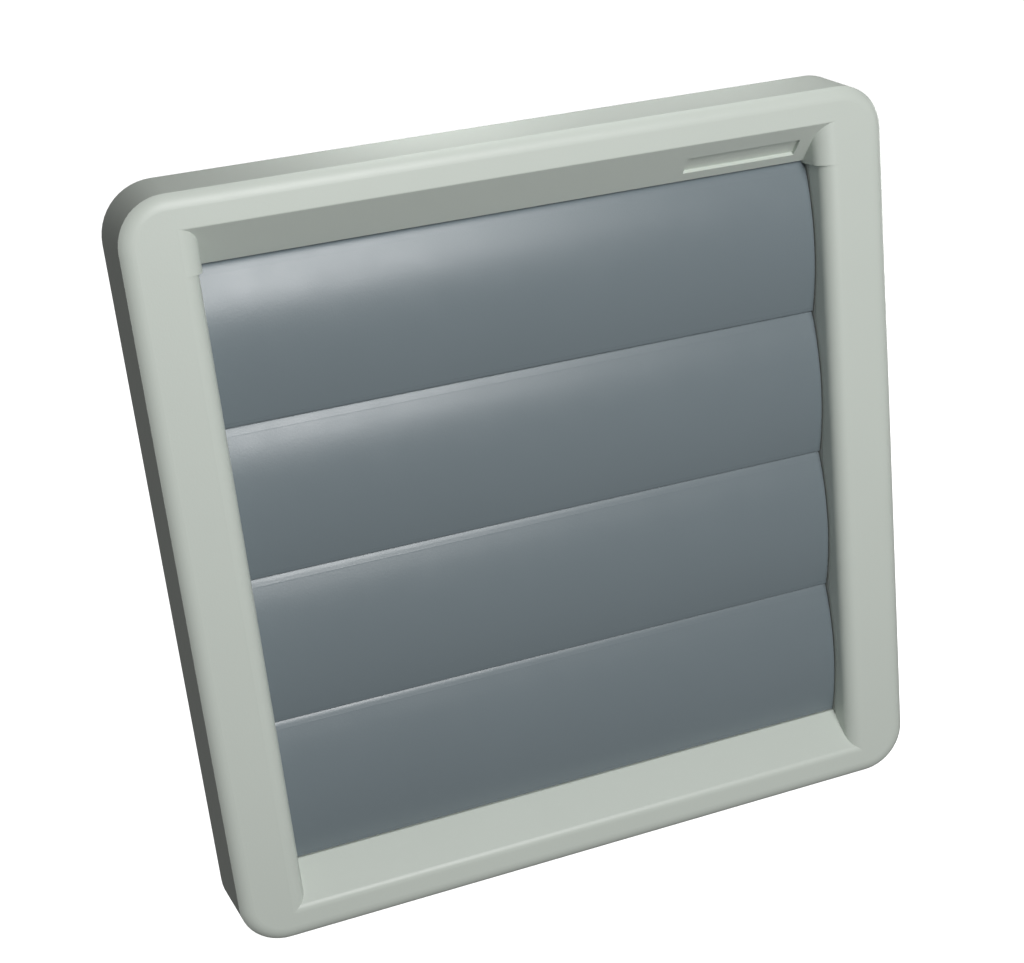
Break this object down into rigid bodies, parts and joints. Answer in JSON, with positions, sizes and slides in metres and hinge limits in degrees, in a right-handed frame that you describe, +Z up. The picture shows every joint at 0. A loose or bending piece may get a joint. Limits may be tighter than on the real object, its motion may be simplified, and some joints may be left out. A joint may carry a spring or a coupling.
{
  "type": "gravity louvre shutter",
  "caption": "Square plastic wall shutter for a round air duct: a moulded frame with overlapping curved slats that air pushes open and their own weight closes.",
  "frame": {"origin": "centre of the back, on the wall plane, which is also the centre of the four wall screw holes", "axes": "+Y into the wall, -Y towards the viewer, +Z up, +X to the right as seen from the front"},
  "size_m": [0.25, 0.0236, 0.25],
  "materials": {
    "frame_plastic": "light grey moulded plastic, satin",
    "slat_plastic": "blue-grey moulded plastic, satin",
    "strip_plastic": "light grey moulded plastic, satin",
    "plate_plastic": "light grey moulded plastic, plain",
    "screw_steel": "zinc plated"
  },
  "bodies": {
    "housing": {"frame": "frame_plastic", "rear_plate": "plate_plastic", "bearing_strip_left": "strip_plastic", "bearing_strip_right": "strip_plastic", "plate_screw_1": "screw_steel", "plate_screw_2": "screw_steel", "plate_screw_3": "screw_steel", "plate_screw_4": "screw_steel"},
    "slat_body_1": {"slat_1": "slat_plastic"},
    "slat_body_2": {"slat_2": "slat_plastic"},
    "slat_body_3": {"slat_3": "slat_plastic"},
    "slat_body_4": {"slat_4": "slat_plastic"}
  },
  "joints": [
    {"name": "slat_hinge_1", "type": "hinge", "parent": "housing", "child": "slat_body_1", "pos_m": [0, -0.008, 0.0943], "axis": [-1, 0, 0], "range_deg": [0, 80]},
    {"name": "slat_hinge_2", "type": "hinge", "parent": "housing", "child": "slat_body_2", "pos_m": [0, -0.008, 0.0444], "axis": [-1, 0, 0], "range_deg": [0, 80]},
    {"name": "slat_hinge_3", "type": "hinge", "parent": "housing", "child": "slat_body_3", "pos_m": [0, -0.008, -0.0055], "axis": [-1, 0, 0], "range_deg": [0, 80]},
    {"name": "slat_hinge_4", "type": "hinge", "parent": "housing", "child": "slat_body_4", "pos_m": [0, -0.008, -0.0554], "axis": [-1, 0, 0], "range_deg": [0, 80]}
  ]
}
